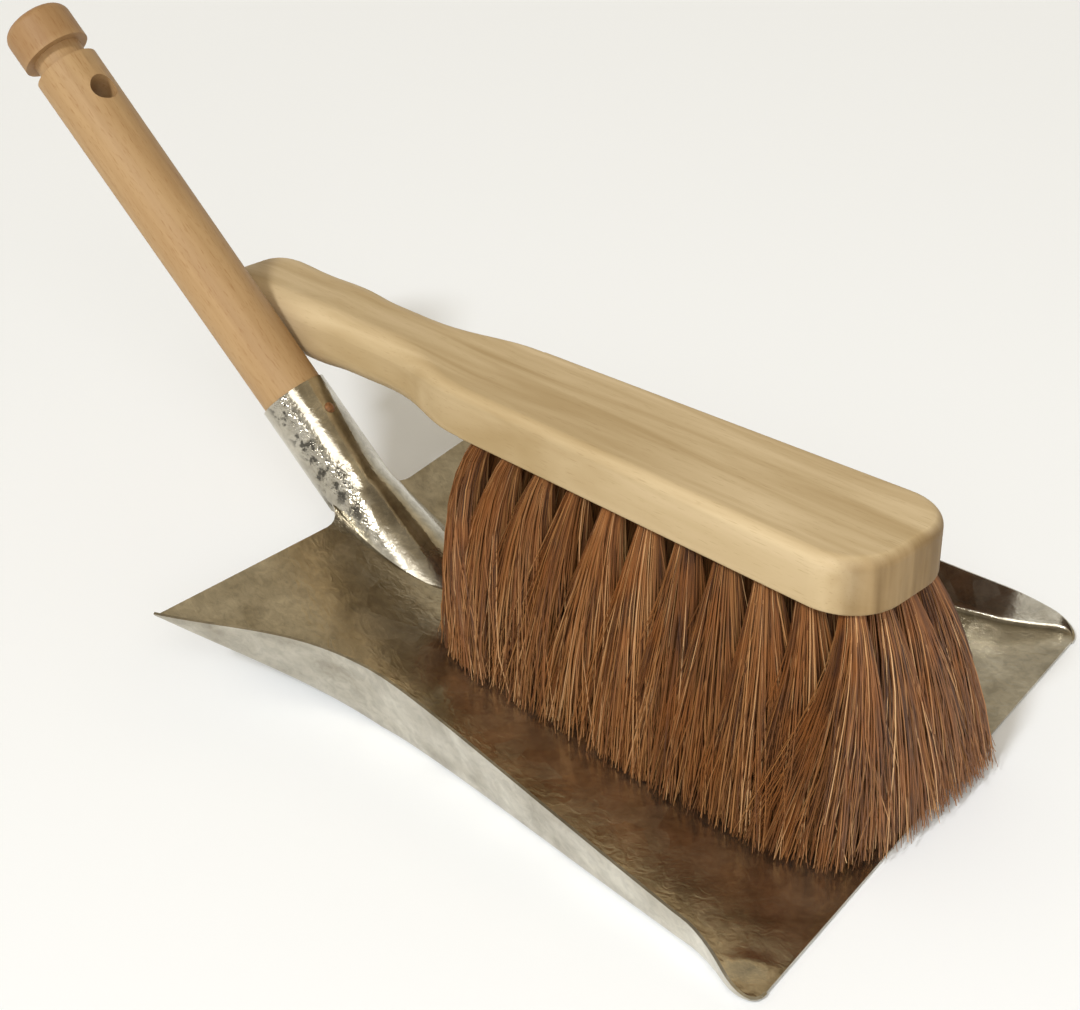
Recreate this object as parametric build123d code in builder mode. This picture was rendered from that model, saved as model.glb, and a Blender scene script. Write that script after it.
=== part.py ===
"""Dust pan and hand brush: a galvanised sheet pan with a nailed wooden handle, and a coir brush in it.

The frame has +Z up and +X from the handle towards the pan's lip. The origin is on the ground, under
the middle of the pan's flat floor. All sizes are in millimetres.
"""
from build123d import *
from math import atan, cos, radians, sin, sqrt, tan
import os

# Pan: one pressed sheet, a flat floor with a ramp behind it and two folded side walls
sheet = 0.8
lip_width = 210.0
rear_width = 194.0
flat_length = 145.0
ramp_length = 68.0
ramp_rise = 19.0
ramp_curve = 1.5
ramp_steps = 4
trough_slope = 0.066
wall_rear = 1.5
wall_waist = 28.0
wall_front = 12.0
wall_toe = 1.0
wall_front_gap = 26.0
wall_toe_gap = 4.0
toe_curve = 1.6
toe_steps = 4
waist_ease = 0.12
floor_shares = (0, 0.1, 0.25, 0.6, 1)
wall_angle_rear = 64.0
wall_angle = 75.0
lip_corner = 10.0

# Socket: a tube rolled from the same sheet, which opens into a ridge on the ramp
socket_bore = 22.2
socket_length = 40.0
socket_tilt = 44.0
socket_rim_back = 32.5
socket_rim_height = 51.4
ridge_flare = 10.5
ridge_length = 64.0
seam_gap = 1.2
gusset_reach = 9.0
gusset_steps = 3
below_reach = 65.0
below_overrun = 1.6

# Pan handle: turned wood pushed into the socket, with a groove, a knob and a hanging hole
handle_fit = 0.15
handle_seat = 38.0
handle_length = 156.0
handle_end_diameter = 22.8
handle_end_chamfer = 1.5
knob_diameter = 24.0
knob_length = 14.4
knob_round = 4.0
groove_width = 6.2
groove_depth = 3.2
shoulder_round = 1.6
hang_hole = 9.5
hang_hole_from_rim = 120.6

# Nail that pins the handle in its socket
nail_from_rim = 11.7
nail_diameter = 1.8
nail_length = 18.0
nail_point = 2.5
nail_head = 3.8
nail_head_height = 0.7
nail_clearance = 0.1

# Brush stock: block and grip are one piece of wood
stand_height = 65.0
brush_middle_x = -17.0
brush_middle_y = 2.4
brush_yaw = -8.1
brush_pitch = 1.7
block_thickness = 17.0
block_front_width = 47.6
block_rear_width = 40.4
block_front_overhang = 9.0
block_rear_overhang = 6.0
block_corner = 17.0
block_edge_round = 3.2
block_bottom_round = 1.0
neck_length = 42.0
neck_root = 2.0
neck_step = 0.15
neck_sections = 4
neck_width = 26.5
neck_thickness = 20.0
grip_length = 96.0
grip_width = 29.0
grip_thickness = 22.0
grip_edge_round = 6.5
grip_body_sections = 3
grip_end_length = 20.0
grip_end_turns = (30, 55, 75)

# Tufts: folded bundles of coir, each in its own hole in the block
tuft_columns = 11
tuft_rows = 4
column_pitch = 14.0
row_pitch = 10.0
tuft_diameter = 6.2
tuft_fit = 0.1
tuft_depth = 9.0
tip_columns_length = 154.0
tip_rows_width = 66.0
tip_forward = 12.5
tip_clearance = 0.4
strands_in_ring = 8
strand_ring = 4.0
strand_root = 1.3
strand_tip = 2.0
strand_embed = 0.6
tip_ring_along = 13.0
tip_ring_across = 18.6
tuft_turn = 137.5

# Staples: one bent wire through the fold of each tuft
staple_wire = 0.9
staple_width = 4.2
staple_leg = 5.0
staple_groove = 1.4
staple_clearance = 0.06

os.makedirs("parts", exist_ok=True)

# Places along X that follow from the pan's lengths
lip_x = flat_length / 2
ramp_x = -flat_length / 2
rear_x = ramp_x - ramp_length
pan_length = flat_length + ramp_length
wall_front_x = lip_x - wall_front_gap
wall_toe_x = lip_x - wall_toe_gap
tube_inside = socket_bore / 2
tube_outside = tube_inside + sheet


def up_the_ramp(x):
    """Share of the ramp that lies between its foot and this place: 0 on the flat floor, 1 at the rear."""
    return max(0.0, (ramp_x - x) / ramp_length)


def floor_height(x):
    """Height of the underside of the pan's floor along its middle."""
    return ramp_rise * up_the_ramp(x) ** ramp_curve


def floor_slope(x):
    """Sideways slope of the floor, a shallow trough that fades out down the ramp."""
    return trough_slope * up_the_ramp(x)


def wall_height(x):
    """Slant height of a side wall: it grows down the ramp, then falls towards its toe at the lip."""
    if x <= ramp_x:
        return wall_rear + (wall_waist - wall_rear) * sin(radians(90 * (1 - up_the_ramp(x))))
    if x <= wall_front_x:
        along = (x - ramp_x) / (wall_front_x - ramp_x)
        fall = (sqrt(along ** 2 + waist_ease ** 2) - waist_ease) / (sqrt(1 + waist_ease ** 2) - waist_ease)
        return wall_waist + (wall_front - wall_waist) * fall
    toe = (x - wall_front_x) / (wall_toe_x - wall_front_x)
    return wall_front + (wall_toe - wall_front) * toe ** toe_curve


def half_blank(x):
    """Half the width of the flat sheet before its walls are folded up."""
    return (rear_width + (lip_width - rear_width) * (x - rear_x) / pan_length) / 2


def tray_outline(x):
    """Corners of half the folded sheet at one place along the pan, as points across and up."""
    wall = wall_height(x)
    lean = radians(wall_angle + (wall_angle_rear - wall_angle) * up_the_ramp(x))
    slope = atan(floor_slope(x))
    floor_normal = Vector(-sin(slope), cos(slope))
    wall_normal = Vector(-sin(lean), cos(lean))
    mitre = (floor_normal + wall_normal) * (sheet / (1 + floor_normal.dot(wall_normal)))
    middle = Vector(0, floor_height(x))
    fold = middle + Vector(1, tan(slope)) * (half_blank(x) - wall)
    rim = fold + Vector(cos(lean), sin(lean)) * wall
    middle_top = middle + Vector(0, sheet / cos(slope))
    corners = [middle, fold, rim, rim + wall_normal * sheet, fold + mitre, middle_top]
    return [(point.X, point.Y) for point in corners]


def gusset_outline(x):
    """Half the sheet behind the rear edge, which narrows in a quarter round to the tube's side."""
    behind = gusset_reach - (rear_x - x)
    reach = tube_outside + gusset_reach - sqrt(gusset_reach ** 2 - behind ** 2)
    thickness = sheet / cos(atan(floor_slope(x)))
    edge = floor_height(x) + reach * floor_slope(x)
    return [(0, floor_height(x)), (reach, edge), (reach, edge + thickness), (0, floor_height(x) + thickness)]


def below_floor_outline(x):
    """Half the space under the middle of the floor's thickness, wide and deep enough for the ridge."""
    middle = floor_height(x) + sheet / 2
    side = middle + below_reach * floor_slope(x)
    return [(0, middle), (below_reach, side), (below_reach, -below_reach), (0, -below_reach)]


def across(x):
    """Plane square to the pan's length, with its own x along +Y and its own y along +Z."""
    return Plane(origin=(x, 0, 0), x_dir=(0, 1, 0), z_dir=(1, 0, 0))


ramp_stations = [rear_x + ramp_length * step / ramp_steps for step in range(ramp_steps + 1)]
floor_stations = [ramp_x + (wall_front_x - ramp_x) * share for share in floor_shares]
gusset_turns = [radians(90 * step / gusset_steps) for step in range(gusset_steps + 1)]
gusset_stations = [rear_x - gusset_reach * (1 - cos(turn)) for turn in gusset_turns]
below_stations = [rear_x - gusset_reach - below_overrun] + ramp_stations
toe_length = wall_toe_x - wall_front_x
toe_stations = [wall_front_x + toe_length * step / toe_steps for step in range(toe_steps + 1)]

# Socket axis: it runs down into the ramp, and the socket's own up is square to it
tilt = radians(socket_tilt)
socket_rim = Vector(rear_x - socket_rim_back, 0, socket_rim_height)
socket_down = Vector(cos(tilt), 0, -sin(tilt))
socket_up = Vector(sin(tilt), 0, cos(tilt))
socket_axis = Axis(socket_rim, socket_down)
socket_profile = Plane(origin=socket_rim, x_dir=socket_down, z_dir=(0, -1, 0))
ridge_grow = ridge_length * tan(radians(ridge_flare))
ridge_end = socket_length + ridge_length


def socket_core(radius):
    """Round form of the tube and of the cone that it opens into, out to one radius."""
    with BuildPart() as core:
        with BuildSketch(socket_profile):
            with BuildLine():
                Polyline(
                    (0, 0),
                    (0, radius),
                    (socket_length, radius),
                    (ridge_end, radius + ridge_grow),
                    (ridge_end, 0),
                    close=True,
                )
            make_face()
        revolve(axis=socket_axis)
    return core.part


def across_nail(distance):
    """Plane across the nail at a distance from the socket's axis, facing outwards."""
    place = socket_rim + socket_down * nail_from_rim + socket_up * distance
    return Plane(origin=place, x_dir=socket_down, z_dir=socket_up)


# Tube and ridge, cut off where they would pass below the floor
with BuildPart() as socket_shell:
    add(socket_core(tube_outside))
    add(socket_core(tube_inside), mode=Mode.SUBTRACT)
    for x in below_stations:
        with BuildSketch(across(x)):
            with BuildLine():
                Polyline(*below_floor_outline(x), close=True)
            make_face()
    half_space = loft(mode=Mode.SUBTRACT)
    mirror(half_space, about=Plane.XZ, mode=Mode.SUBTRACT)

# Pan sheet: tray, lip, gussets beside the tube, then the tube and ridge in their place
with BuildPart() as pan_sheet:
    for stations in (ramp_stations, floor_stations, toe_stations):
        for x in stations:
            with BuildSketch(across(x)):
                with BuildLine():
                    Polyline(*tray_outline(x), close=True)
                make_face()
        loft()
    for x in gusset_stations:
        with BuildSketch(across(x)):
            with BuildLine():
                Polyline(*gusset_outline(x), close=True)
            make_face()
    loft()
    mirror(about=Plane.XZ)
    with BuildSketch():
        with Locations((wall_toe_x, 0)):
            Rectangle(wall_toe_gap, lip_width, align=(Align.MIN, Align.CENTER))
    extrude(amount=sheet)
    add(socket_core(tube_outside), mode=Mode.SUBTRACT)
    add(socket_shell.part)
    with BuildSketch():
        with Locations((lip_x, lip_width / 2), (lip_x, -lip_width / 2)):
            Rectangle(2 * lip_corner, 2 * lip_corner)
        corner_y = lip_width / 2 - lip_corner
        with Locations((lip_x - lip_corner, corner_y), (lip_x - lip_corner, -corner_y)):
            Circle(lip_corner, mode=Mode.SUBTRACT)
    extrude(amount=wall_waist, mode=Mode.SUBTRACT)
    with BuildSketch(across_nail(0)):
        Circle(nail_diameter / 2 + nail_clearance)
    extrude(amount=2 * tube_outside, mode=Mode.SUBTRACT)
    with BuildSketch(socket_profile):
        with Locations((0, -tube_inside / 2)):
            Rectangle(2 * socket_length, tube_outside, align=(Align.CENTER, Align.MAX))
    extrude(amount=seam_gap / 2, both=True, mode=Mode.SUBTRACT)
pan_sheet.part.label = "pan_sheet"
export_step(pan_sheet.part, "parts/pan_sheet.step")

# Pan handle: turned about the socket's axis, wider towards the knob
handle_root = tube_inside - handle_fit
handle_end = handle_end_diameter / 2
knob = knob_diameter / 2
groove_floor = knob - groove_depth
shoulder = handle_length - knob_length - groove_width
with BuildPart() as pan_handle:
    with BuildSketch(socket_profile) as turning:
        with BuildLine():
            Polyline(
                (handle_seat, 0),
                (handle_seat, handle_root - handle_end_chamfer),
                (handle_seat - handle_end_chamfer, handle_root),
                (0, handle_root),
                (-shoulder, handle_end),
                (-shoulder, groove_floor),
                (knob_length - handle_length, groove_floor),
                (knob_length - handle_length, knob),
                (-handle_length, knob),
                (-handle_length, 0),
                close=True,
            )
        make_face()
        knob_tip, knob_foot = turning.vertices().group_by(Axis.Y)[-1].sort_by(Axis.X)
        shoulder_corner = turning.vertices().sort_by_distance((-shoulder, handle_end))[0]
        fillet(knob_tip, knob_round)
        fillet([knob_foot, shoulder_corner], shoulder_round)
    revolve(axis=socket_axis)
    hang_place = socket_rim - socket_down * hang_hole_from_rim
    with BuildSketch(Plane(origin=hang_place, x_dir=socket_down, z_dir=socket_up)):
        Circle(hang_hole / 2)
    extrude(amount=handle_end_diameter, both=True, mode=Mode.SUBTRACT)
    with BuildSketch(across_nail(tube_outside)):
        Circle(nail_diameter / 2 + nail_clearance)
    extrude(amount=-nail_length - nail_clearance, mode=Mode.SUBTRACT)
pan_handle.part.label = "pan_handle"
export_step(pan_handle.part, "parts/pan_handle.step")

# Handle nail: domed head on the socket, shank and point in the wood
nail_profile = Plane(origin=across_nail(tube_outside).origin, x_dir=socket_down, z_dir=(0, -1, 0))
with BuildPart() as handle_nail:
    with BuildSketch(nail_profile):
        with BuildLine():
            Polyline(
                (0, nail_head_height),
                (0, -nail_length),
                (nail_diameter / 2, nail_point - nail_length),
                (nail_diameter / 2, 0),
                (nail_head / 2, 0),
                (nail_diameter / 2, nail_head_height),
                close=True,
            )
        make_face()
    revolve(axis=Axis(nail_profile.origin, socket_up))
handle_nail.part.label = "handle_nail"
export_step(handle_nail.part, "parts/handle_nail.step")

# Brush frame: on the block's underside at the middle of the tufts, its x towards the front
yaw = radians(brush_yaw)
pitch = radians(brush_pitch)
brush_plane = Plane(
    origin=(brush_middle_x, brush_middle_y, stand_height),
    x_dir=(cos(yaw) * cos(pitch), sin(yaw) * cos(pitch), sin(pitch)),
    z_dir=(-cos(yaw) * sin(pitch), -sin(yaw) * sin(pitch), cos(pitch)),
)
brush_up = Axis(brush_plane.origin, brush_plane.z_dir)
brush_forward = Axis(brush_plane.origin, brush_plane.x_dir)
field_length = column_pitch * (tuft_columns - 1)
field_width = row_pitch * (tuft_rows - 1)
block_front = field_length / 2 + block_front_overhang
block_rear = -field_length / 2 - block_rear_overhang
neck_x = block_rear - neck_length
grip_x = neck_x - grip_length + grip_end_length
tuft_places = [
    (column * column_pitch - field_length / 2, row * row_pitch - field_width / 2)
    for column in range(tuft_columns)
    for row in range(tuft_rows)
]


def ease(start, end, share):
    """Value that leaves its start and reaches its end without a corner."""
    return start + (end - start) * (1 - cos(radians(180 * share))) / 2


def stock_section(x, width, thickness, top_round, bottom_round):
    """Rounded cross-section of the stock at one place along the brush, centred on the block's height."""
    middle = brush_plane.from_local_coords((x, 0, block_thickness / 2))
    plane = Plane(origin=middle, x_dir=brush_plane.y_dir, z_dir=brush_plane.x_dir)
    with BuildSketch(plane) as section:
        Rectangle(width, thickness)
        fillet(section.vertices().group_by(Axis.Y)[-1], top_round)
        fillet(section.vertices().group_by(Axis.Y)[0], bottom_round)
    return section.sketch


def grip_sections():
    """Sections from the block's rear through the neck and the grip to the rounded end."""
    sections = [stock_section(
        block_rear + neck_root,
        block_rear_width - 2 * neck_step,
        block_thickness - 2 * neck_step,
        block_edge_round,
        block_bottom_round,
    )]
    for step in range(1, neck_sections + 1):
        share = step / neck_sections
        sections.append(stock_section(
            block_rear - neck_length * share,
            ease(block_rear_width, neck_width, share),
            ease(block_thickness, neck_thickness, share),
            ease(block_edge_round, grip_edge_round, share),
            ease(block_bottom_round, grip_edge_round, share),
        ))
    for step in range(1, grip_body_sections + 1):
        share = step / grip_body_sections
        sections.append(stock_section(
            neck_x + (grip_x - neck_x) * share,
            ease(neck_width, grip_width, share),
            ease(neck_thickness, grip_thickness, share),
            grip_edge_round,
            grip_edge_round,
        ))
    for turn in grip_end_turns:
        shrink = cos(radians(turn))
        sections.append(stock_section(
            grip_x - grip_end_length * sin(radians(turn)),
            grip_width * shrink,
            grip_thickness * shrink,
            grip_edge_round * shrink,
            grip_edge_round * shrink,
        ))
    return sections


# Brush stock: rounded block with a drilled underside, carried on into the grip
leg_reach = staple_width / 2 - staple_wire / 2
crown_height = tuft_depth - staple_groove + staple_wire / 2
with BuildPart() as brush_stock:
    with BuildSketch(brush_plane) as block_plan:
        with BuildLine():
            Polyline(
                (block_rear, block_rear_width / 2),
                (block_rear, -block_rear_width / 2),
                (block_front, -block_front_width / 2),
                (block_front, block_front_width / 2),
                close=True,
            )
        make_face()
        fillet(block_plan.vertices().group_by(Axis.X)[-1], block_corner)
    extrude(amount=block_thickness)
    rear_edges = brush_stock.edges().group_by(brush_forward)[0]
    fillet(brush_stock.edges().group_by(brush_up)[-1] - rear_edges, block_edge_round)
    fillet(brush_stock.edges().group_by(brush_up)[0] - rear_edges, block_bottom_round)
    loft(grip_sections())
    with BuildSketch(brush_plane):
        with Locations(*tuft_places):
            Circle(tuft_diameter / 2 + tuft_fit)
    extrude(amount=tuft_depth, mode=Mode.SUBTRACT)
    with BuildSketch(brush_plane.offset(crown_height)):
        for x, y in tuft_places:
            with Locations((x, y - leg_reach), (x, y + leg_reach)):
                Circle(staple_wire / 2 + staple_clearance)
    extrude(amount=staple_leg + staple_clearance, mode=Mode.SUBTRACT)
brush_stock.part.label = "brush_stock"
export_step(brush_stock.part, "parts/brush_stock.step")

# Staples: crown through the fold of the tuft, legs up in the wood
with BuildPart() as staple:
    with BuildLine(Plane.YZ):
        Polyline(
            (-leg_reach, crown_height + staple_leg),
            (-leg_reach, crown_height),
            (leg_reach, crown_height),
            (leg_reach, crown_height + staple_leg),
        )
    with BuildSketch(Plane.XY.offset(crown_height + staple_leg)):
        with Locations((0, -leg_reach)):
            Circle(staple_wire / 2)
    sweep(transition=Transition.RIGHT)
with BuildPart() as tuft_staples:
    for x, y in tuft_places:
        place = Plane(
            origin=brush_plane.from_local_coords((x, y, 0)),
            x_dir=brush_plane.x_dir,
            z_dir=brush_plane.z_dir,
        )
        with Locations(place):
            add(staple.part)
tuft_staples.part.label = "tuft_staples"
export_step(tuft_staples.part, "parts/tuft_staples.step")


def floor_top(x, y):
    """Height of the upper face of the pan's floor."""
    return floor_height(x) + floor_slope(x) * abs(y) + sheet / cos(atan(floor_slope(x)))


def tip_place(along, over):
    """Where a strand that is this far along and across the brush ends, just above the pan's floor."""
    x = brush_middle_x + along * cos(yaw) - over * sin(yaw)
    y = brush_middle_y + along * sin(yaw) + over * cos(yaw)
    return Vector(x, y, floor_top(x, y) + tip_clearance)


def strand(root, tip, turn):
    """Three-sided fibre from its root to its tip, both ends level."""
    with BuildSketch(Plane(root)) as root_face:
        RegularPolygon(strand_root / 2, 3, rotation=turn)
    with BuildSketch(Plane(tip)) as tip_face:
        RegularPolygon(strand_tip / 2, 3, rotation=turn)
    return loft([root_face.sketch, tip_face.sketch], ruled=True)


def tuft_strands(x, y, spin):
    """Fibres of one tuft: one in its middle and a ring, which spreads out towards the tips."""
    middle_along = tip_forward + x * tip_columns_length / field_length
    middle_over = y * tip_rows_width / field_width
    strands = [strand(
        brush_plane.from_local_coords((x, y, strand_embed)),
        tip_place(middle_along, middle_over),
        spin,
    )]
    for step in range(strands_in_ring):
        turn = spin + 360 * step / strands_in_ring
        out_along = cos(radians(turn))
        out_over = sin(radians(turn))
        strands.append(strand(
            brush_plane.from_local_coords((
                x + out_along * strand_ring / 2,
                y + out_over * strand_ring / 2,
                strand_embed,
            )),
            tip_place(
                middle_along + out_along * tip_ring_along / 2,
                middle_over + out_over * tip_ring_across / 2,
            ),
            turn,
        ))
    return strands


# Tufts: a root that fills its hole up to the staple, with the fibres fused to it
for number, (x, y) in enumerate(tuft_places):
    strands = tuft_strands(x, y, number * tuft_turn)
    root_plane = Plane(
        origin=brush_plane.from_local_coords((x, y, 0)),
        x_dir=brush_plane.x_dir,
        z_dir=brush_plane.z_dir,
    )
    with BuildPart() as tuft:
        with BuildSketch(root_plane):
            Circle(tuft_diameter / 2)
        extrude(amount=tuft_depth - tuft_fit)
        with BuildSketch(root_plane.offset(tuft_depth)):
            Rectangle(staple_wire + 2 * staple_clearance, 2 * tuft_diameter)
        extrude(amount=-staple_groove - staple_clearance, mode=Mode.SUBTRACT)
        add(strands)
    column = number // tuft_rows + 1
    row = number % tuft_rows + 1
    tuft.part.label = f"tuft_{column:02d}_{row}"
    export_step(tuft.part, f"parts/tuft_{column:02d}_{row}.step")
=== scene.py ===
"""Dust pan and hand brush: the looks of each piece, in the order in which the set is put together."""
import bpy
import math
import random
from mathutils import Matrix, Vector, noise


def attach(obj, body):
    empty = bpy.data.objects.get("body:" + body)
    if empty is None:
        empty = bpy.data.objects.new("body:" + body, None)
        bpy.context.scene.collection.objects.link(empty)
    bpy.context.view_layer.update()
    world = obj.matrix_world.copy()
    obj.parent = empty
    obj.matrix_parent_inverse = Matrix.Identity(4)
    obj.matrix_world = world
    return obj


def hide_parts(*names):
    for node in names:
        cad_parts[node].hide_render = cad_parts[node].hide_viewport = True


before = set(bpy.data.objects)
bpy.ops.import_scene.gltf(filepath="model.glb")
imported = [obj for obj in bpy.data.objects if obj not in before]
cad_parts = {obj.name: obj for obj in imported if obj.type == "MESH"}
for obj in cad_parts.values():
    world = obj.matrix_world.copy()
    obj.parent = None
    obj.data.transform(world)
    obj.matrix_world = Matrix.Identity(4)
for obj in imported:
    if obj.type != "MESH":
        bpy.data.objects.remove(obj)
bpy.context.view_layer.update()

# Pan sheet: one blank of galvanised steel, folded up at the sides and pressed into a ridge on the ramp.
# The socket is rolled from the same sheet and stays open along a seam below. The mesh is a grid in the
# middle of the sheet, half of it shaped section by section, then mirrored and given its thickness.
sheet = 0.0008
lip_x = 0.0725
ramp_x = -0.0725
rear_x = -0.1405
rear_width = 0.194
lip_width = 0.210
lip_corner = 0.010
ramp_rise = 0.019
ramp_curve = 1.5
ramp_end = 1.12  # the ramp's curve goes on a little behind the rear edge
trough_slope = 0.066
wall_rear = 0.0015
wall_waist = 0.028
wall_front = 0.012
wall_front_x = 0.0465
wall_toe = 0.0003
waist_ease = 0.12  # rounds the wall's rim off at its highest place
toe_curve = 1.6
wall_lean = math.radians(75)
wall_lean_rear = math.radians(64)
bend_radius = 0.0026
bend_share_most = 0.8  # the most of a low wall that its bend takes up
tube_radius = 0.0115
socket_length = 0.040
socket_tilt = math.radians(44)
socket_rim = Vector((-0.173, 0, 0.0514))
ridge_flare = math.tan(math.radians(10.5))
ridge_strip = 0.006  # half of the strip of floor in line with the ridge
seam_gap = 0.0012
edge_slack = 0.0001  # a section this close to the rear edge still has a floor
merge_distance = 0.00005
smooth_angle = math.radians(40)

# Rows and columns of the grid
ridge_columns = 18
floor_columns = 40
bend_columns = 6
wall_columns = 12
gusset_columns = 6
floor_spread = 1.2  # columns of the floor lie closer beside the ridge
corner_rows = 8
flat_rows = 54
ramp_rows = 44
gusset_rows = 6
chin_rows = 6
tube_rows = 18

socket_down = Vector((math.cos(socket_tilt), 0, -math.sin(socket_tilt)))
socket_up = Vector((math.sin(socket_tilt), 0, math.cos(socket_tilt)))
seam_turn = math.pi - math.asin(seam_gap / 2 / tube_radius)
chin_x = socket_rim.x + socket_length * socket_down.x - tube_radius * socket_up.x


def up_the_ramp(x):
    """Share of the ramp between its foot and this place: 0 on the flat floor, 1 at the rear edge."""
    return min(ramp_end, max(0.0, (ramp_x - x) / (ramp_x - rear_x)))


def floor_height(x, y):
    """Height of the middle of the sheet in the floor, which is a shallow trough on the ramp."""
    rise = up_the_ramp(x)
    return ramp_rise * rise ** ramp_curve + trough_slope * rise * abs(y) + sheet / 2


def wall_height(x):
    """Slant height of a side wall, highest at the foot of the ramp."""
    if x <= ramp_x:
        return wall_rear + (wall_waist - wall_rear) * math.cos(up_the_ramp(x) * math.pi / 2)
    if x <= wall_front_x:
        along = (x - ramp_x) / (wall_front_x - ramp_x)
        fall = math.hypot(along, waist_ease) - waist_ease
        return wall_waist + (wall_front - wall_waist) * fall / (math.hypot(1, waist_ease) - waist_ease)
    toe = (x - wall_front_x) / (lip_x - wall_front_x)
    return wall_front + (wall_toe - wall_front) * toe ** toe_curve


def half_blank(x):
    """Half the width of the flat sheet before folding, with its front corner rounded."""
    width = (rear_width + (lip_width - rear_width) * (x - rear_x) / (lip_x - rear_x)) / 2
    past = max(0.0, x - lip_x + lip_corner)
    return width - lip_corner + math.sqrt(max(0.0, lip_corner ** 2 - past ** 2))


def about_socket(along, radius, turn):
    """Point about the socket's axis, turned from the top."""
    out = socket_up * math.cos(turn) + Vector((0, math.sin(turn), 0))
    return socket_rim + socket_down * along + out * radius


def ridge_point(x, turn):
    """Point on the tube or the ridge at one place along the pan, turned from the top."""
    reach = x - socket_rim.x
    lean = math.cos(turn) * socket_up.x
    along = (reach - tube_radius * lean) / socket_down.x
    if along <= socket_length:
        return about_socket(along, tube_radius, turn)
    start = tube_radius - socket_length * ridge_flare
    along = (reach - start * lean) / (socket_down.x + ridge_flare * lean)
    return about_socket(along, start + along * ridge_flare, turn)


def ridge_turn(x):
    """How far round from the top the ridge goes before it meets the floor, found by halving."""
    halvings = 40
    low, high = 0.0, seam_turn
    for step in range(halvings):
        middle = (low + high) / 2
        point = ridge_point(x, middle)
        if point.z > floor_height(x, point.y):
            low = middle
        else:
            high = middle
    return low


def sheet_section(x, tuck=0, roll=0):
    """Points of half the sheet at one place, from its middle out to the rim of the wall.

    Behind the rear edge, tuck wraps the sheet under the handle and roll draws it up to the socket's rim.
    """
    turn = ridge_turn(x)
    turn += (seam_turn - turn) * tuck
    foot = ridge_point(x, turn)
    points = []
    for column in range(ridge_columns + 1):
        share = column / ridge_columns
        if foot.y > ridge_strip or x < rear_x:
            point = ridge_point(x, turn * share)
            if roll:
                along = (point - socket_rim).dot(socket_down) * (1 - roll)
                point = about_socket(along, tube_radius, turn * share)
        else:
            y = ridge_strip * share
            height = floor_height(x, y)
            if y < foot.y:
                height = max(height, ridge_point(x, turn * y / foot.y).z)
            point = Vector((x, y, height))
        points.append(point)
    if x < rear_x - edge_slack:
        return points
    start = points[-1].y
    slope = math.atan(trough_slope * up_the_ramp(x))
    lean = wall_lean + (wall_lean_rear - wall_lean) * up_the_ramp(x)
    wall = wall_height(x)
    fold_y = half_blank(x) - wall
    bend = min(bend_radius * math.tan((lean - slope) / 2), bend_share_most * wall)
    radius = bend / math.tan((lean - slope) / 2)
    for column in range(1, floor_columns + 1):
        y = start + (fold_y - bend - start) * (column / floor_columns) ** floor_spread
        points.append(Vector((x, y, floor_height(x, y))))
    centre = points[-1] + Vector((0, -math.sin(slope), math.cos(slope))) * radius
    for column in range(1, bend_columns + 1):
        turned = slope + (lean - slope) * column / bend_columns
        points.append(centre + Vector((0, math.sin(turned), -math.cos(turned))) * radius)
    wall_foot = points[-1]
    for column in range(1, wall_columns + 1):
        rise = (wall - bend) * column / wall_columns
        points.append(wall_foot + Vector((0, math.cos(lean), math.sin(lean))) * rise)
    return points


rear_foot = ridge_point(rear_x, ridge_turn(rear_x))
gusset_reach = sheet_section(rear_x)[ridge_columns + gusset_columns].y - rear_foot.y
web_x = rear_x - gusset_reach


def gusset_section(x):
    """Ridge section with the small web beside it, which narrows behind the rear edge in a quarter round."""
    points = sheet_section(x)
    foot = points[-1]
    behind = max(0.0, gusset_reach - (rear_x - x))
    reach = gusset_reach - math.sqrt(gusset_reach ** 2 - behind ** 2)
    for column in range(1, gusset_columns + 1):
        y = foot.y + reach * (column / gusset_columns) ** floor_spread
        points.append(Vector((x, y, floor_height(x, y))))
    return points


# The sections, from the lip back to the socket's rim
sections = []
for step in range(corner_rows + 1):
    turn = math.radians(90) * step / corner_rows
    sections.append(sheet_section(lip_x - lip_corner * (1 - math.cos(turn))))
for step in range(1, flat_rows + 1):
    sections.append(sheet_section(lip_x - lip_corner + (ramp_x - lip_x + lip_corner) * step / flat_rows))
for step in range(1, ramp_rows + 1):
    sections.append(sheet_section(ramp_x + (rear_x - ramp_x) * step / ramp_rows))
for step in range(1, gusset_rows + 1):
    turn = math.radians(90) * step / gusset_rows
    sections.append(gusset_section(rear_x - gusset_reach * (1 - math.cos(turn))))
for step in range(1, chin_rows + 1):
    share = step / chin_rows
    sections.append(sheet_section(web_x + (chin_x - web_x) * share, tuck=share))
for step in range(1, tube_rows + 1):
    sections.append(sheet_section(chin_x, tuck=1, roll=step / tube_rows))

# The grid runs from -1 to 1 each way, and points past the end of a short section are deleted
columns = ridge_columns + floor_columns + bend_columns + wall_columns
rows = len(sections) - 1
bpy.ops.object.select_all(action="DESELECT")
bpy.ops.mesh.primitive_grid_add(x_subdivisions=columns, y_subdivisions=rows, size=2)
pan = bpy.context.object
pan.name = "pan"
bpy.ops.object.mode_set(mode="EDIT")
bpy.ops.mesh.select_all(action="DESELECT")
bpy.ops.mesh.select_mode(type="VERT")
bpy.ops.object.mode_set(mode="OBJECT")
worked = pan.data.attributes.new("worked", "FLOAT", "POINT")
for vertex in pan.data.vertices:
    section = sections[round((vertex.co.y + 1) / 2 * rows)]
    column = round((vertex.co.x + 1) / 2 * columns)
    if column >= len(section):
        vertex.select = True
        continue
    point = section[column]
    vertex.co = point
    if column <= ridge_columns:
        raised = point.z - floor_height(point.x, point.y)
        worked.data[vertex.index].value = min(1.0, max(0.0, raised / ridge_strip))
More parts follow.
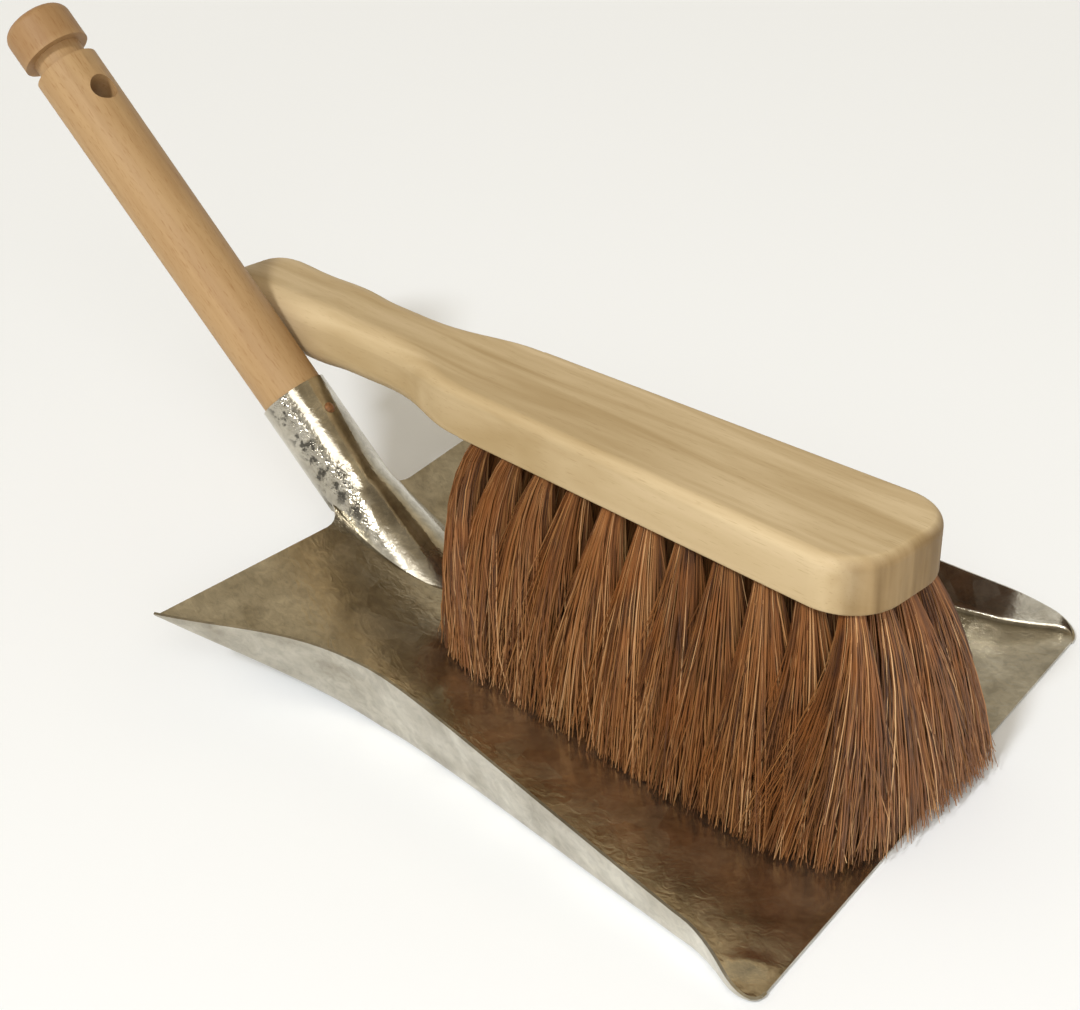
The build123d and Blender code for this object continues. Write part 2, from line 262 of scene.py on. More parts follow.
bpy.ops.object.mode_set(mode="EDIT")
bpy.ops.mesh.delete(type="VERT")
bpy.ops.object.mode_set(mode="OBJECT")
bpy.ops.object.modifier_add(type="MIRROR")
pan.modifiers["Mirror"].use_axis = (False, True, False)
pan.modifiers["Mirror"].merge_threshold = merge_distance
bpy.ops.object.modifier_apply(modifier="Mirror")
bpy.ops.object.mode_set(mode="EDIT")
bpy.ops.mesh.select_all(action="SELECT")
bpy.ops.mesh.remove_doubles(threshold=merge_distance)
bpy.ops.mesh.normals_make_consistent(inside=False)
bpy.ops.object.mode_set(mode="OBJECT")

# The sag of the thin sheet, the hammer marks on the near flank of the socket and a crease in one corner
sag = 0.00025
sag_length = 0.055
lump = 0.0004
lump_length = 0.006
hammer_turn = math.radians(72)
hammer_spread = math.radians(25)
neck_along = 0.034
neck_length = 0.008
neck_spread = math.radians(18)
crease_middle = Vector((0.0665, -0.0930, sheet / 2))
crease_facing = Vector((-0.6, 0.8, 0))
crease_radius = 0.0055
crease_width = 0.0017
crease_height = 0.0008
pan.data.attributes.new("hammered", "FLOAT", "POINT")
raised_values = pan.data.attributes["worked"].data
hammer_marks = pan.data.attributes["hammered"].data
for vertex, raised, marks in zip(pan.data.vertices, raised_values, hammer_marks):
    along = (vertex.co - socket_rim).dot(socket_down)
    outward = (vertex.co - socket_rim - socket_down * along).normalized()
    turn = math.atan2(-outward.y, outward.dot(socket_up))
    spread = hammer_spread + neck_spread * math.exp(-((along - neck_along) / neck_length) ** 2)
    marks.value = raised.value * min(1.0, max(0.0, 2 - 2 * abs(turn - hammer_turn) / spread))
    dent = outward * abs(noise.noise(vertex.co / lump_length)) * lump * marks.value
    wave = vertex.normal * noise.noise(vertex.co / sag_length) * sag * (1 - raised.value)
    from_crease = vertex.co - crease_middle
    across_crease = (from_crease.length - crease_radius) / crease_width
    inward = max(0.0, from_crease.normalized().dot(crease_facing))
    crease = Vector((0, 0, crease_height)) * math.exp(-across_crease ** 2) * inward
    vertex.co += dent + wave + crease
bpy.ops.object.modifier_add(type="SOLIDIFY")
pan.modifiers["Solidify"].thickness = sheet
pan.modifiers["Solidify"].offset = 0
bpy.ops.object.modifier_apply(modifier="Solidify")
bpy.ops.object.shade_smooth_by_angle(angle=smooth_angle)
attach(pan, "pan")
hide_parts("pan_sheet")


def colour(hex_value):
    """Linear colour of an sRGB hex value."""
    channels = [int(hex_value[place:place + 2], 16) / 255 for place in (1, 3, 5)]
    return [c / 12.92 if c <= 0.04045 else ((c + 0.055) / 1.055) ** 2.4 for c in channels] + [1.0]


def add_node(owner, kind, sockets, **settings):
    """Adds one node to a material or the world: its settings, then each socket's value or what feeds it."""
    tree = owner.node_tree
    made = tree.nodes.new(kind)
    for name, value in settings.items():
        setattr(made, name, value)
    for name, value in sockets.items():
        if isinstance(value, bpy.types.NodeSocket):
            tree.links.new(value, made.inputs[name])
        else:
            made.inputs[name].default_value = value
    return made


def new_material(name):
    """Material with an empty node tree."""
    material = bpy.data.materials.new(name)
    material.use_nodes = True
    material.node_tree.nodes.clear()
    return material


# Hot-dip galvanised steel: zinc that froze in flat crystals a few millimetres across. Each crystal
# mirrors a little more or less than the next, duller clouds lie over them, and the coat is uneven like
# orange peel. Its finest grit is drawn at 0.9 mm, coarse enough to show. The ridge is smoother from the
# press, and the hammered flank is crinkled, with painted dark reflections in its dips.
spangle_size = 0.008
cloud_size = 0.016
peel_size = 0.0045
grit_size = 0.0009
crinkle_size = 0.0034
mottle_size = 0.0032
galvanised = new_material("hot_dip_galvanised_steel")
place = add_node(galvanised, "ShaderNodeTexCoord", {})
spangle = add_node(galvanised, "ShaderNodeTexVoronoi", {
    "Vector": place.outputs["Object"], "Scale": 1 / spangle_size,
})
crystal = add_node(galvanised, "ShaderNodeSeparateColor", {"Color": spangle.outputs["Color"]})
cloud = add_node(galvanised, "ShaderNodeTexNoise", {
    "Vector": place.outputs["Object"], "Scale": 1 / cloud_size, "Detail": 4.0, "Distortion": 0.6,
})
cloud_share = add_node(galvanised, "ShaderNodeMapRange", {
    "Value": cloud.outputs["Fac"], "From Min": 0.30, "From Max": 0.70,
})
zinc = add_node(galvanised, "ShaderNodeMix", {
    0: cloud_share.outputs["Result"], 6: colour("#A8A08F"), 7: colour("#D6D0C1"),
}, data_type="RGBA")
facet = add_node(galvanised, "ShaderNodeMapRange", {
    "Value": crystal.outputs["Red"], "To Min": 0.93, "To Max": 1.0,
})
tint = add_node(galvanised, "ShaderNodeMix", {
    0: 1.0, 6: zinc.outputs[2], 7: facet.outputs["Result"],
}, data_type="RGBA", blend_type="MULTIPLY")
mottle = add_node(galvanised, "ShaderNodeTexNoise", {
    "Vector": place.outputs["Object"], "Scale": 1 / mottle_size, "Detail": 3.0, "Distortion": 1.0,
})
dull = add_node(galvanised, "ShaderNodeMapRange", {
    "Value": mottle.outputs["Fac"],
    "From Min": 0.35, "From Max": 0.6, "To Min": 0.82, "To Max": 1.0,
})
mottled = add_node(galvanised, "ShaderNodeMix", {
    0: 1.0, 6: tint.outputs[2], 7: dull.outputs["Result"],
}, data_type="RGBA", blend_type="MULTIPLY")
pressed = add_node(galvanised, "ShaderNodeAttribute", {}, attribute_name="worked")
hammered = add_node(galvanised, "ShaderNodeAttribute", {}, attribute_name="hammered")
crystal_gloss = add_node(galvanised, "ShaderNodeMapRange", {
    "Value": crystal.outputs["Green"], "To Min": 0.16, "To Max": 0.27,
})
gloss = add_node(galvanised, "ShaderNodeMath", {
    0: pressed.outputs["Fac"], 1: -0.07, 2: crystal_gloss.outputs["Result"],
}, operation="MULTIPLY_ADD")
peel = add_node(galvanised, "ShaderNodeTexNoise", {
    "Vector": place.outputs["Object"], "Scale": 1 / peel_size, "Detail": 3.0, "Distortion": 1.2,
})
peel_bump = add_node(galvanised, "ShaderNodeBump", {
    "Height": peel.outputs["Fac"], "Strength": 0.5, "Distance": 0.0002,
})
grit = add_node(galvanised, "ShaderNodeTexNoise", {
    "Vector": place.outputs["Object"], "Scale": 1 / grit_size, "Detail": 2.0,
})
grit_bump = add_node(galvanised, "ShaderNodeBump", {
    "Height": grit.outputs["Fac"], "Strength": 0.1, "Distance": 0.0002,
    "Normal": peel_bump.outputs["Normal"],
})
crinkle = add_node(galvanised, "ShaderNodeTexNoise", {
    "Vector": place.outputs["Object"], "Scale": 1 / crinkle_size, "Detail": 3.0, "Roughness": 0.6,
})
crinkle_bump = add_node(galvanised, "ShaderNodeBump", {
    "Height": crinkle.outputs["Fac"], "Strength": hammered.outputs["Fac"], "Distance": 0.0014,
    "Normal": grit_bump.outputs["Normal"],
})
# Painted dark reflection: the dips of the crinkle on the hammered flank are painted near black, as dark
# specks of mirrored surroundings.
dip = add_node(galvanised, "ShaderNodeMapRange", {
    "Value": crinkle.outputs["Fac"], "From Min": 0.50, "From Max": 0.41, "To Max": 0.85,
})
painted_dark_reflection_share = add_node(galvanised, "ShaderNodeMath", {
    0: dip.outputs["Result"], 1: hammered.outputs["Fac"],
}, operation="MULTIPLY")
with_painted_dark_reflection = add_node(galvanised, "ShaderNodeMix", {
    0: painted_dark_reflection_share.outputs["Value"], 6: mottled.outputs[2], 7: colour("#35322D"),
}, data_type="RGBA")
steel = add_node(galvanised, "ShaderNodeBsdfPrincipled", {
    "Base Color": with_painted_dark_reflection.outputs[2], "Metallic": 0.98, "Roughness": gloss.outputs["Value"],
    "Normal": crinkle_bump.outputs["Normal"],
})
add_node(galvanised, "ShaderNodeOutputMaterial", {"Surface": steel.outputs["BSDF"]})
pan.data.materials.append(galvanised)

# Pan handle: a beech rod turned with a knob and a groove, bored to hang it by, and pushed into the socket.
# Its solid has the turned shape, so it only gets its finish.


def give_finish(node, material):
    """Puts a material on a node that shows its own solid."""
    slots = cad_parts[node].data.materials
    slots.clear()
    slots.append(material)


# Turned beech: warm tan, with short darker dashes where the rays of the wood are cut, all along the handle.
# The end of the knob is darker because the grain ends there, and the knob because hands have worn it.
fleck_size = Vector((0.0036, 0.00055, 0.00055))
streak_size = Vector((0.050, 0.0032, 0.0032))
wear_start = -0.299
wear_full = -0.304
beech = new_material("turned_beech")
place = add_node(beech, "ShaderNodeTexCoord", {})
fleck_place = add_node(beech, "ShaderNodeMapping", {
    "Vector": place.outputs["Object"], "Rotation": (0, socket_tilt, 0), "Scale": fleck_size,
}, vector_type="TEXTURE")
fleck = add_node(beech, "ShaderNodeTexNoise", {
    "Vector": fleck_place.outputs["Vector"], "Scale": 1.0, "Detail": 2.0,
})
streak_place = add_node(beech, "ShaderNodeMapping", {
    "Vector": place.outputs["Object"], "Rotation": (0, socket_tilt, 0), "Scale": streak_size,
}, vector_type="TEXTURE")
streak = add_node(beech, "ShaderNodeTexNoise", {
    "Vector": streak_place.outputs["Vector"], "Scale": 1.0, "Detail": 4.0, "Distortion": 0.4,
})
tan_wood = add_node(beech, "ShaderNodeMix", {
    0: streak.outputs["Fac"], 6: colour("#9A774E"), 7: colour("#B9996D"),
}, data_type="RGBA")
dash = add_node(beech, "ShaderNodeMapRange", {
    "Value": fleck.outputs["Fac"], "From Min": 0.55, "From Max": 0.75, "To Max": 0.55,
})
dashed = add_node(beech, "ShaderNodeMix", {
    0: dash.outputs["Result"], 6: tan_wood.outputs[2], 7: colour("#8E6438"),
}, data_type="RGBA")
along_grain = add_node(beech, "ShaderNodeVectorMath", {
    0: place.outputs["Normal"], 1: socket_down,
}, operation="DOT_PRODUCT")
end_face_darkening = add_node(beech, "ShaderNodeMapRange", {
    "Value": along_grain.outputs["Value"], "From Min": -0.4, "From Max": -0.95, "To Max": 0.55,
})
turned = add_node(beech, "ShaderNodeMix", {
    0: end_face_darkening.outputs["Result"], 6: dashed.outputs[2], 7: colour("#8A6238"),
}, data_type="RGBA")
down_handle = add_node(beech, "ShaderNodeVectorMath", {
    0: place.outputs["Object"], 1: socket_down,
}, operation="DOT_PRODUCT")
worn = add_node(beech, "ShaderNodeMapRange", {
    "Value": down_handle.outputs["Value"], "From Min": wear_start, "From Max": wear_full, "To Max": 0.4,
})
handled = add_node(beech, "ShaderNodeMix", {
    0: worn.outputs["Result"], 6: turned.outputs[2], 7: colour("#7E5228"),
}, data_type="RGBA")
fleck_bump = add_node(beech, "ShaderNodeBump", {
    "Height": fleck.outputs["Fac"], "Strength": 0.15, "Distance": 0.0002,
})
turned_wood = add_node(beech, "ShaderNodeBsdfPrincipled", {
    "Base Color": handled.outputs[2], "Roughness": 0.55, "Specular IOR Level": 0.35,
    "Normal": fleck_bump.outputs["Normal"],
})
add_node(beech, "ShaderNodeOutputMaterial", {"Surface": turned_wood.outputs["BSDF"]})
give_finish("pan_handle", beech)

# Handle nail: a small round-headed steel nail, driven through the top of the socket into the wood.
# It keeps the handle from pulling out. Its solid has the right shape, so it only gets its finish.
# Rusted steel: dull brown scale in dark and orange grains, with a trace of metal left in its shine.
rust_size = 0.0009
rust = new_material("rusted_nail_steel")
place = add_node(rust, "ShaderNodeTexCoord", {})
scale = add_node(rust, "ShaderNodeTexNoise", {
    "Vector": place.outputs["Object"], "Scale": 1 / rust_size, "Detail": 3.0,
})
rust_colour = add_node(rust, "ShaderNodeMix", {
    0: scale.outputs["Fac"], 6: colour("#4A2C18"), 7: colour("#A87444"),
}, data_type="RGBA")
rust_bump = add_node(rust, "ShaderNodeBump", {
    "Height": scale.outputs["Fac"], "Strength": 0.4, "Distance": 0.0003,
})
rusted = add_node(rust, "ShaderNodeBsdfPrincipled", {
    "Base Color": rust_colour.outputs[2], "Metallic": 0.3, "Roughness": 0.6,
    "Normal": rust_bump.outputs["Normal"],
})
add_node(rust, "ShaderNodeOutputMaterial", {"Surface": rusted.outputs["BSDF"]})
give_finish("handle_nail", rust)

# Brush stock: block and grip are one board of pale wood, sawn to its outline, rounded over and sanded.
# It is left raw, and its underside is drilled for the tufts. Its solid only gets its finish.
brush_middle = Vector((-0.017, 0.0024, 0.065))
brush_yaw = math.radians(-8.1)
brush_pitch = math.radians(1.7)
brush_place = (
    Matrix.Translation(brush_middle)
    @ Matrix.Rotation(brush_yaw, 4, "Z")
    @ Matrix.Rotation(-brush_pitch, 4, "Y")
)
brush_turn = brush_place.to_3x3()

# Raw sanded wood: cream to tan bands that run the length of the brush, with a few greyer streaks, and a
# browner front end, partly where the rings are cut across and partly painted shade. Its pores are drawn 0.4
# mm wide, coarse enough to show.
band_size = Vector((0.110, 0.0090, 0.016))
line_size = Vector((0.070, 0.0016, 0.0040))
pore_size = Vector((0.0050, 0.0004, 0.0004))
ring_size = Vector((0.030, 0.0042, 0.060))
raw_wood = new_material("raw_sanded_wood")
place = add_node(raw_wood, "ShaderNodeTexCoord", {})
grain = {}
for name, size, detail, distortion in (
    ("band", band_size, 3.0, 0.8),
    ("line", line_size, 3.0, 0.5),
    ("pore", pore_size, 1.0, 0.0),
    ("ring", ring_size, 2.0, 0.0),
):
    grain_place = add_node(raw_wood, "ShaderNodeMapping", {
        "Vector": place.outputs["Object"], "Location": brush_middle,
        "Rotation": brush_place.to_euler(), "Scale": size,
    }, vector_type="TEXTURE")
    grain[name] = add_node(raw_wood, "ShaderNodeTexNoise", {
        "Vector": grain_place.outputs["Vector"], "Scale": 1.0, "Detail": detail, "Distortion": distortion,
    }).outputs["Fac"]
band_share = add_node(raw_wood, "ShaderNodeMapRange", {
    "Value": grain["band"], "From Min": 0.3, "From Max": 0.7,
})
cream = add_node(raw_wood, "ShaderNodeMix", {
    0: band_share.outputs["Result"], 6: colour("#A88F65"), 7: colour("#CAB48E"),
}, data_type="RGBA")
line_share = add_node(raw_wood, "ShaderNodeMapRange", {
    "Value": grain["line"], "From Min": 0.5, "From Max": 0.8, "To Max": 0.25,
})
streaked = add_node(raw_wood, "ShaderNodeMix", {
    0: line_share.outputs["Result"], 6: cream.outputs[2], 7: colour("#A98F66"),
}, data_type="RGBA")
pore_share = add_node(raw_wood, "ShaderNodeMapRange", {
    "Value": grain["pore"], "From Min": 0.62, "From Max": 0.8, "To Max": 0.35,
})
pored = add_node(raw_wood, "ShaderNodeMix", {
    0: pore_share.outputs["Result"], 6: streaked.outputs[2], 7: colour("#8F7448"),
}, data_type="RGBA")
along_grain = add_node(raw_wood, "ShaderNodeVectorMath", {
    0: place.outputs["Normal"], 1: brush_turn @ Vector((1, 0, 0)),
}, operation="DOT_PRODUCT")
# The front face is darkened, partly as end grain and partly as painted shade.
end_face_darkening = add_node(raw_wood, "ShaderNodeMapRange", {
    "Value": along_grain.outputs["Value"], "From Min": 0.25, "From Max": 0.9, "To Max": 0.85,
})
ring_share = add_node(raw_wood, "ShaderNodeMapRange", {
    "Value": grain["ring"], "From Min": 0.35, "From Max": 0.65,
})
end_grain_and_shade_colour = add_node(raw_wood, "ShaderNodeMix", {
    0: ring_share.outputs["Result"], 6: colour("#6C522D"), 7: colour("#957A52"),
}, data_type="RGBA")
sanded = add_node(raw_wood, "ShaderNodeMix", {
    0: end_face_darkening.outputs["Result"], 6: pored.outputs[2], 7: end_grain_and_shade_colour.outputs[2],
}, data_type="RGBA")
line_bump = add_node(raw_wood, "ShaderNodeBump", {
    "Height": grain["line"], "Strength": 0.12, "Distance": 0.0002,
})
sanded_wood = add_node(raw_wood, "ShaderNodeBsdfPrincipled", {
    "Base Color": sanded.outputs[2], "Roughness": 0.6, "Specular IOR Level": 0.3,
    "Normal": line_bump.outputs["Normal"],
})
add_node(raw_wood, "ShaderNodeOutputMaterial", {"Surface": sanded_wood.outputs["BSDF"]})
give_finish("brush_stock", raw_wood)

# Staples: short pieces of drawn steel wire, bent to a U. Each crosses the fold of its tuft at the bottom
# of the hole, with both legs driven up into the wood. They are out of sight, and only get their finish.
# Drawn steel wire: bright grey metal, duller in the smears that the drawing die leaves.
smear_size = 0.0012
wire = new_material("drawn_steel_wire")
place = add_node(wire, "ShaderNodeTexCoord", {})
smear = add_node(wire, "ShaderNodeTexNoise", {
    "Vector": place.outputs["Object"], "Scale": 1 / smear_size, "Detail": 2.0,
})
wire_colour = add_node(wire, "ShaderNodeMix", {
    0: smear.outputs["Fac"], 6: colour("#93938F"), 7: colour("#BDBDBA"),
}, data_type="RGBA")
wire_gloss = add_node(wire, "ShaderNodeMapRange", {
    "Value": smear.outputs["Fac"], "To Min": 0.45, "To Max": 0.25,
})
drawn = add_node(wire, "ShaderNodeBsdfPrincipled", {
    "Base Color": wire_colour.outputs[2], "Metallic": 1.0, "Roughness": wire_gloss.outputs["Result"],
})
add_node(wire, "ShaderNodeOutputMaterial", {"Surface": drawn.outputs["BSDF"]})
give_finish("tuft_staples", wire)

# Tufts: bundles of coir, the husk fibre of the coconut, folded over the staples and trimmed at the tips.
# One fibre is modelled, and each strand is a copy of it laid along a path of its own, from its hole to
# the floor of the pan. Sizes along and over are along the brush and across it.
tuft_columns = 11
tuft_rows = 4
column_pitch = 0.014
row_pitch = 0.010
tuft_radius = 0.0031
hole_depth = 0.0075
tip_columns_length = 0.154
tip_rows_width = 0.066
tip_forward = 0.0125
tip_reach_along = 0.012
tip_reach_over = 0.014
trim_middle = 0.0115
trim_half_length = 0.0835
trim_half_width = 0.047
trim_roundness = 5
trim_least = 0.93
field_length = column_pitch * (tuft_columns - 1)
field_width = row_pitch * (tuft_rows - 1)

# How a strand leans out of its hole, bends, waves and ends
forward_lean = 0.10
front_lean = 0.33
rear_lean = 0.55
near_lean = 0.33
far_lean = 0.26
root_fan = 0.2
near_droop = 0.3
far_droop = 0.08
curve_share = 0.33
wave_height = 0.0012
wave_turns = (3, 9)
tip_clearance = 0.0004
tip_lift = 0.001
tip_lift_most = 0.006
short_chance = 0.12
short_reach = (0.7, 0.97)
strand_radius = (0.0001, 0.00022)
strand_steps = 8
step_spread = 1.2
tip_width = 0.6

# How the strands of a tuft differ: they keep to locks, some stray, a few are dark, and a few are straw
# pale, partly as painted sheen
strands_in_tuft = 450
locks_in_tuft = 45
tuft_shift_along = 0.25
tuft_shift_over = 0.15
lock_spread = 0.2
packed_most = 0.95
stray_chance = 0.25
stray_spread = 0.6
tip_spread = 0.2
lock_tone_spread = 0.1
tone_middle = 0.41
# Strands are darker towards the front of the brush: painted shade.
front_shade_fall = 0.19
tone_spread = 0.17
tone_most = 0.85
# Straw pale strands are partly painted sheen.
straw_and_sheen_below = 0.07
straw_and_sheen_tone = (0.8, 1.0)
dark_below = 0.17
dark_tone = (0, 0.12)
# Strands grow paler towards the tip, in part as painted light caught by the tips.
pale_tip_level = 5
pale_tip_step = 0.04

# Coir fibre: dull husk, hardly glossy. Each strand has its own shade, from dark brown to straw, the palest
# partly painted sheen, and a little paler at its tip, partly painted light. Some patches of the brush are
# redder than others.
patch_size = Vector((0.007, 0.007, 0.030))
coir = new_material("coir_fibre")
tone = add_node(coir, "ShaderNodeAttribute", {}, attribute_name="tone")
husk = add_node(coir, "ShaderNodeValToRGB", {"Fac": tone.outputs["Fac"]})
husk.color_ramp.elements[0].color = colour("#442818")
# The palest end of the ramp stands partly for painted sheen on the strands.
husk.color_ramp.elements[1].color = colour("#D3A878")
for stop, shade in ((0.4, "#8A5B33"), (0.75, "#B5834F")):
    husk.color_ramp.elements.new(stop).color = colour(shade)
place = add_node(coir, "ShaderNodeTexCoord", {})
patch_place = add_node(coir, "ShaderNodeMapping", {
    "Vector": place.outputs["Object"], "Scale": patch_size,
}, vector_type="TEXTURE")
patch = add_node(coir, "ShaderNodeTexNoise", {
    "Vector": patch_place.outputs["Vector"], "Scale": 1.0, "Detail": 3.0,
})
red_share = add_node(coir, "ShaderNodeMapRange", {
    "Value": patch.outputs["Fac"], "From Min": 0.4, "From Max": 0.7, "To Max": 0.6,
})
fibre_colour = add_node(coir, "ShaderNodeMix", {
    0: red_share.outputs["Result"], 6: husk.outputs["Color"], 7: colour("#9A5E2A"),
}, data_type="RGBA")
fibre = add_node(coir, "ShaderNodeBsdfPrincipled", {
    "Base Color": fibre_colour.outputs[2], "Roughness": 0.5,
})
add_node(coir, "ShaderNodeOutputMaterial", {"Surface": fibre.outputs["BSDF"]})

# One fibre: a three-sided prism from -1 to 1, its long edges cut into the steps of a strand
bpy.ops.object.select_all(action="DESELECT")
bpy.ops.mesh.primitive_cylinder_add(vertices=3, radius=1, depth=2)
fibre_blank = bpy.context.object
bpy.ops.object.mode_set(mode="EDIT")
bpy.ops.mesh.select_mode(type="EDGE")
bpy.ops.mesh.select_all(action="DESELECT")
bpy.ops.object.mode_set(mode="OBJECT")
for edge in fibre_blank.data.edges:
    ends = [fibre_blank.data.vertices[end].co.z for end in edge.vertices]
    edge.select = abs(ends[0] - ends[1]) > 1
bpy.ops.object.mode_set(mode="EDIT")
bpy.ops.mesh.subdivide(number_cuts=strand_steps - 1)
bpy.ops.object.mode_set(mode="OBJECT")
blank_levels = [round((vertex.co.z + 1) / 2 * strand_steps) for vertex in fibre_blank.data.vertices]
blank_sides = [(vertex.co.x, vertex.co.y) for vertex in fibre_blank.data.vertices]
blank_faces = [list(face.vertices) for face in fibre_blank.data.polygons]


def floor_top(x, y):
    """Height of the upper face of the pan's floor."""
    return floor_height(x, y) + sheet / 2


def strand_path(draw, x, y, root, reach):
    """Points of one strand, from inside its hole to its tip near the floor of the pan."""
    along = tip_forward + x * tip_columns_length / field_length + reach[0] - trim_middle
    over = y * tip_rows_width / field_width + reach[1]
    outline = math.hypot(
        abs(along / trim_half_length) ** (trim_roundness / 2),
        abs(over / trim_half_width) ** (trim_roundness / 2),
    ) ** (2 / trim_roundness)
    if outline > 1:
        trimmed = draw.uniform(trim_least, 1.0) / outline
        along *= trimmed
        over *= trimmed
    tip = brush_middle + Matrix.Rotation(brush_yaw, 4, "Z") @ Vector((along + trim_middle, over, 0))
    lift = min(tip_lift_most, draw.expovariate(1 / tip_lift))
    tip.z = floor_top(tip.x, tip.y) + tip_clearance + lift
    inside = brush_place @ Vector((root[0], root[1], hole_depth))
    mouth = brush_place @ Vector((root[0], root[1], 0))
    length = (tip - mouth).length
    lean_along = forward_lean + (front_lean if x > 0 else rear_lean) * x / (field_length / 2)
    lean_over = (near_lean if y < 0 else far_lean) * y / (field_width / 2)
    leave = brush_turn @ Vector((
        lean_along + root_fan * (root[0] - x) / tuft_radius,
        lean_over + root_fan * (root[1] - y) / tuft_radius,
        -1,
    )).normalized()
    first = mouth + leave * length * curve_share
    droop = near_droop if y < 0 else far_droop
    arrive = ((tip - first).normalized() * (1 - droop) + Vector((0, 0, -droop))).normalized()
    second = tip - arrive * length * curve_share
    wave = Vector((draw.gauss(0, 1), draw.gauss(0, 1), 0)) * wave_height
    phase = draw.uniform(0, math.pi)
    turns = draw.uniform(*wave_turns)
    reached = draw.uniform(*short_reach) if draw.random() < short_chance else 1.0
    points = [inside]
    for step in range(strand_steps):
        share = (step / (strand_steps - 1)) ** step_spread * reached
        rest = 1 - share
        point = (
            mouth * rest ** 3
            + first * 3 * share * rest ** 2
            + second * 3 * share ** 2 * rest
            + tip * share ** 3
        )
        points.append(point + wave * share * math.sin(share * turns + phase))
    end = points[-1]
    end.z = max(end.z, tip.z, floor_top(end.x, end.y) + tip_clearance)
    return points


def strand_tone(draw, x, lock_tone):
    """Shade of one strand, from 0, dark, to 1, straw: darker towards the front as painted shade, with a few
    odd ones.
    """
    painted_front_shade = front_shade_fall * max(0, x / field_length * 2)
    shade = tone_middle - painted_front_shade + lock_tone + draw.gauss(0, tone_spread)
    odd = draw.random()
    if odd < straw_and_sheen_below:
        return draw.uniform(*straw_and_sheen_tone)
    if odd < dark_below:
        return draw.uniform(*dark_tone)
    return min(tone_most, max(0, shade))


def strand_sides(path):
    """Two directions across a strand at each of its points."""
    sides = []
    for level in range(len(path)):
        before = path[max(0, level - 1)]
        after = path[min(len(path) - 1, level + 1)]
        direction = (after - before).normalized()
        across = direction.cross(Vector((0, 1, 0))).normalized()
        sides.append((across, direction.cross(across)))
    return sides


def build_tuft(name, x, y, seed):
    """One tuft: its strands in small locks that share out the ground between the tufts."""
    draw = random.Random(seed)
    shift_along = draw.gauss(0, tuft_shift_along)
    shift_over = draw.gauss(0, tuft_shift_over)
    locks = []
    for lock in range(locks_in_tuft):
        locks.append((draw.uniform(-1, 1), draw.uniform(-1, 1), draw.gauss(0, lock_tone_spread)))
    points = []
    faces = []
    tones = []
    for strand in range(strands_in_tuft):
        lock_along, lock_over, lock_tone = locks[strand % locks_in_tuft]
        out_along = lock_along + draw.gauss(0, lock_spread)
        out_over = lock_over + draw.gauss(0, lock_spread)
        turn = math.atan2(out_over, out_along)
        packed = min(packed_most, max(abs(out_along), abs(out_over))) * tuft_radius
        root = (x + packed * math.cos(turn), y + packed * math.sin(turn))
        stray = stray_spread if draw.random() < stray_chance else tip_spread
        reach = (
            (shift_along + out_along + draw.gauss(0, stray)) * tip_reach_along,
            (shift_over + out_over + draw.gauss(0, stray)) * tip_reach_over,
        )
        path = strand_path(draw, x, y, root, reach)
        radius = draw.uniform(*strand_radius)
        shade = strand_tone(draw, x, lock_tone)
        sides = strand_sides(path)
        first = len(points)
        for level, corner in zip(blank_levels, blank_sides):
            width = radius * (1 if level < strand_steps else tip_width)
            across, over = sides[level]
            points.append(path[level] + across * corner[0] * width + over * corner[1] * width)
            # Paler towards the tip: partly painted light.
            tones.append(min(1, shade + pale_tip_step * max(0, level - pale_tip_level)))
        faces.extend([first + corner for corner in face] for face in blank_faces)
    mesh = bpy.data.meshes.new(name)
    mesh.from_pydata(points, [], faces)
    mesh.attributes.new("tone", "FLOAT", "POINT").data.foreach_set("value", tones)
    mesh.materials.append(coir)
    tuft = bpy.data.objects.new(name, mesh)
    bpy.context.scene.collection.objects.link(tuft)
    return tuft


for column in range(tuft_columns):
    for row in range(tuft_rows):
        number = f"{column + 1:02d}_{row + 1}"
        x = column * column_pitch - field_length / 2
        y = row * row_pitch - field_width / 2
        tuft = build_tuft(f"coir_tuft_{number}", x, y, column * tuft_rows + row)
        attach(tuft, "brush")
        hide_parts(f"tuft_{number}")
bpy.data.objects.remove(fibre_blank)

# Table, light and camera: the set lies on a pale board in a bright room. A window behind the camera gives
# the soft shadow, a small lamp fills the front, and the camera stands where the photograph was taken.
# Matt white board: no gloss, so it shows nothing but the soft shadow. It lies just clear of the pan.
table_size = 40
table_drop = 0.0004
bpy.ops.object.select_all(action="DESELECT")
bpy.ops.mesh.primitive_plane_add(size=table_size, location=(0, 0, -table_drop))
table = bpy.context.object
table.name = "table"
pale = new_material("matt_white_table")
board = add_node(pale, "ShaderNodeBsdfPrincipled", {"Base Color": colour("#F6F9FD"), "Roughness": 0.9})
add_node(pale, "ShaderNodeOutputMaterial", {"Surface": board.outputs["BSDF"]})
table.data.materials.append(pale)

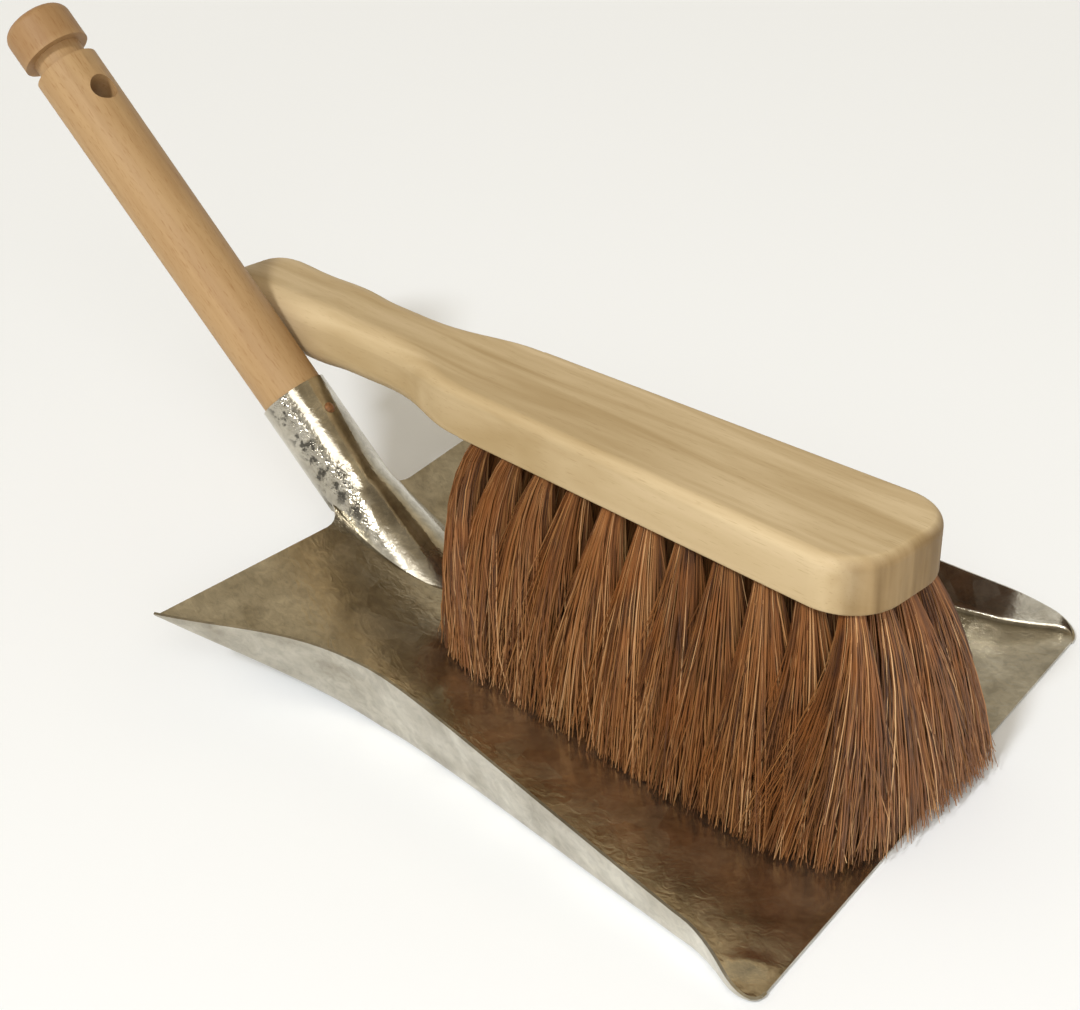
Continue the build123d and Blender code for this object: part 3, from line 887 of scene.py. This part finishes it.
# The room: white near the floor, warmer and dimmer towards the ceiling
world = bpy.data.worlds.new("white_room")
bpy.context.scene.world = world
world.use_nodes = True
world.node_tree.nodes.clear()
way = add_node(world, "ShaderNodeTexCoord", {})
height = add_node(world, "ShaderNodeSeparateXYZ", {"Vector": way.outputs["Generated"]})
room = add_node(world, "ShaderNodeValToRGB", {"Fac": height.outputs["Z"]})
room.color_ramp.elements[0].position = 0.05
room.color_ramp.elements[0].color = (1.0, 1.0, 0.99, 1)
room.color_ramp.elements[1].color = (0.20, 0.17, 0.13, 1)
for stop, light in ((0.5, (0.60, 0.57, 0.49, 1)), (0.72, (0.64, 0.53, 0.35, 1))):
    room.color_ramp.elements.new(stop).color = light
sky = add_node(world, "ShaderNodeBackground", {"Color": room.outputs["Color"], "Strength": 0.92})
add_node(world, "ShaderNodeOutputWorld", {"Surface": sky.outputs["Background"]})

camera_place = Vector((0.2174, -0.3806, 0.3245))
camera_aim = Vector((-0.0840, 0.0208, 0.0300))
camera_roll = math.radians(0.2)
window_place = Vector((-0.08, -0.70, 0.70))
lamp_place = Vector((0.40, -0.60, 0.60))

bpy.ops.object.light_add(type="SUN", location=window_place)
window = bpy.context.object
window.name = "window_light"
window.data.energy = 1.85
window.data.color = (0.96, 0.98, 1.0)
window.data.angle = math.radians(8)
window.rotation_euler = (-window_place).to_track_quat("-Z", "Y").to_euler()

bpy.ops.object.light_add(type="AREA", location=lamp_place)
lamp = bpy.context.object
lamp.name = "lamp_by_the_camera"
lamp.data.size = 0.5
lamp.data.energy = 2.4
lamp.rotation_euler = (camera_aim - lamp_place).to_track_quat("-Z", "Y").to_euler()

bpy.ops.object.camera_add(location=camera_place)
camera = bpy.context.object
camera.data.sensor_width = 36
camera.data.lens = 59.27
camera.data.clip_start = 0.01
towards_aim = (camera_aim - camera_place).to_track_quat("-Z", "Y").to_matrix()
camera.rotation_euler = (towards_aim @ Matrix.Rotation(camera_roll, 3, "Z")).to_euler()
bpy.context.scene.camera = camera
bpy.context.scene.view_settings.view_transform = "Standard"
